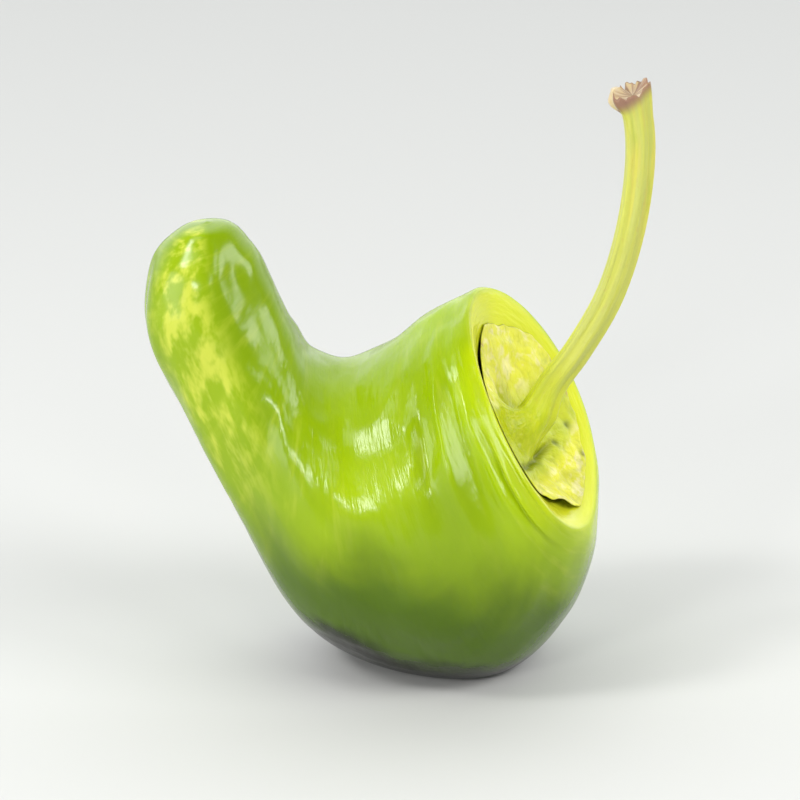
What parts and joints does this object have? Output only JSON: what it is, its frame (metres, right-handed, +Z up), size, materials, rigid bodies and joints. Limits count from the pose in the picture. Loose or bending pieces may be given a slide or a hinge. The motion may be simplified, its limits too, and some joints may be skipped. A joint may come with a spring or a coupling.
{
  "type": "padron pepper",
  "caption": "a small fresh green pepper with a blocky, folded shoulder, a tip that curls up like a horn, and a ribbed stem torn off at its end",
  "frame": {"origin": "centre of the small flat spot under the belly, on which the pepper rests", "axes": "Z up; the stem rises at +X and the curled tip points up at -X; the shoulder's folds face -Y"},
  "size_m": [0.0585, 0.0375, 0.0732],
  "materials": {
    "pod_skin": "the waxy, glossy green skin of a fresh pepper, finely wrinkled in places",
    "stem_skin": "the satin, pale yellow-green skin of a pepper's calyx and ribbed stem"
  },
  "bodies": {
    "root": {"pod": "pod_skin", "calyx_and_stem": "stem_skin"}
  },
  "joints": []
}
